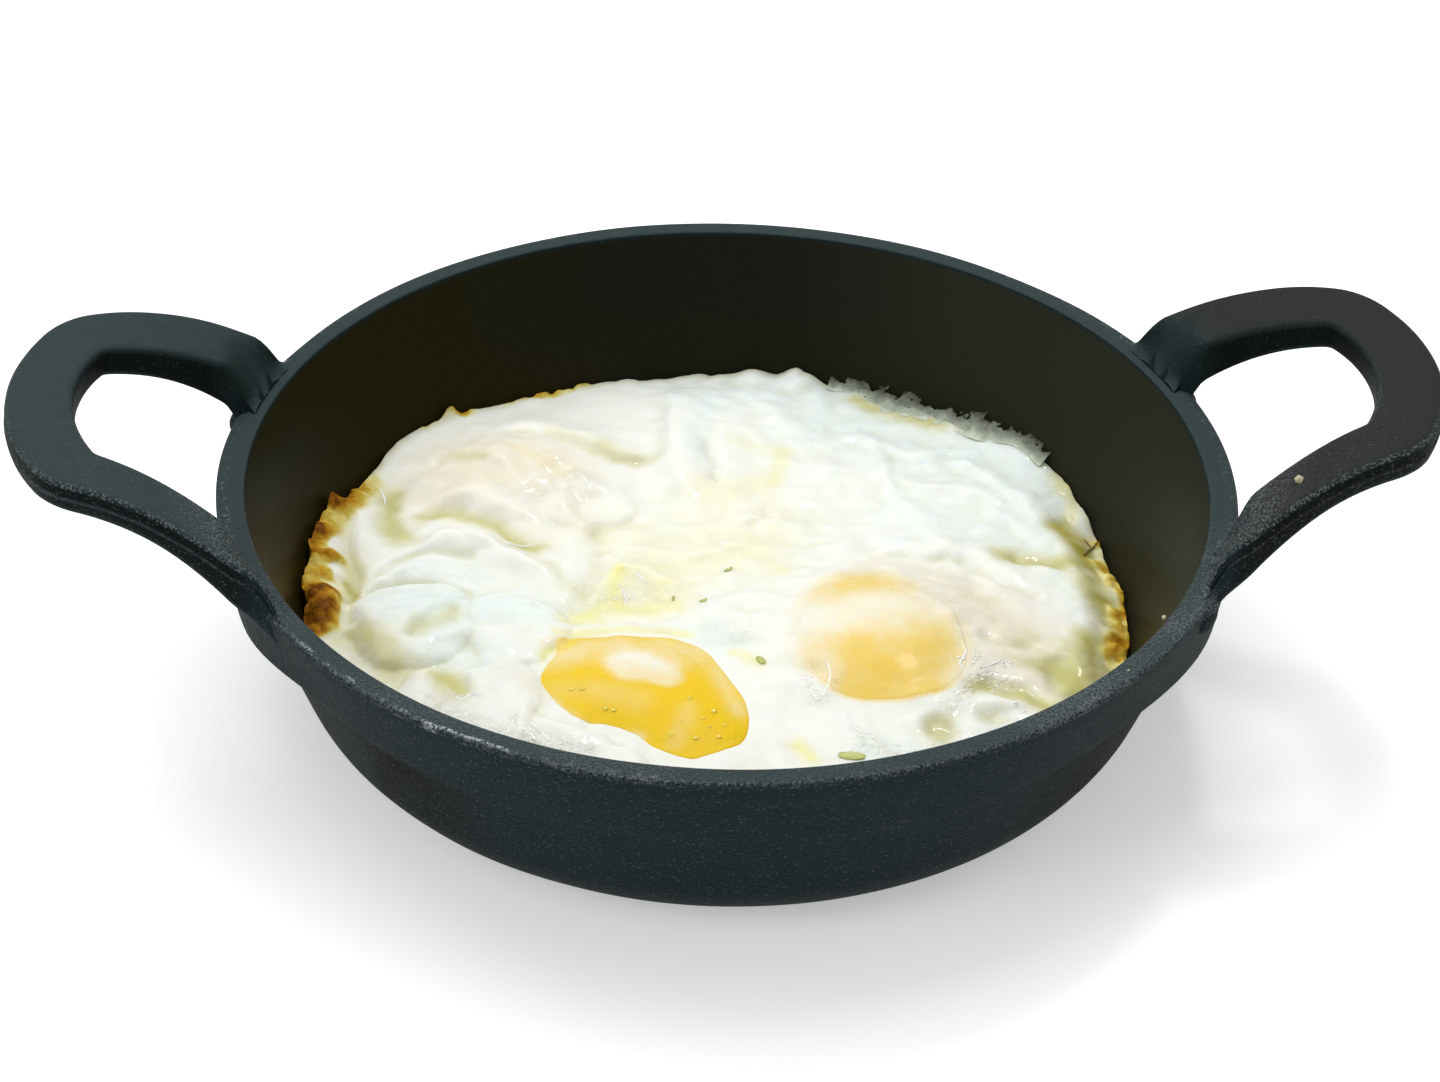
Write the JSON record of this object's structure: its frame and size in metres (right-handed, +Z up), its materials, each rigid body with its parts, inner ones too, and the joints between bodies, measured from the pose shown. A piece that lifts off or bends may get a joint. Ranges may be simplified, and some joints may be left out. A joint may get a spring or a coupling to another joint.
{
  "type": "fried eggs in a two-handled pan",
  "caption": "Fried eggs with soft yolks, set as one joined white in a small round cast-iron pan with a loop handle on each side.",
  "frame": {"origin": "centre of the pan's flat base, on the surface it stands on", "axes": "+Z up, X through both handles, +Y to the back, away from the side with the open yolk"},
  "size_m": [0.253, 0.1794, 0.0641],
  "materials": {
    "cast_iron": "seasoned black iron with a fine cast texture, and an oily film inside",
    "egg_white": "moist cooked egg white, browned where it meets the pan",
    "yolk": "wet soft yolk, partly under a thin veil of white"
  },
  "bodies": {
    "root": {"pan": "cast_iron", "egg_white": "egg_white", "yolk_front": "yolk", "yolk_right": "yolk", "yolk_back_left": "yolk"}
  },
  "joints": []
}
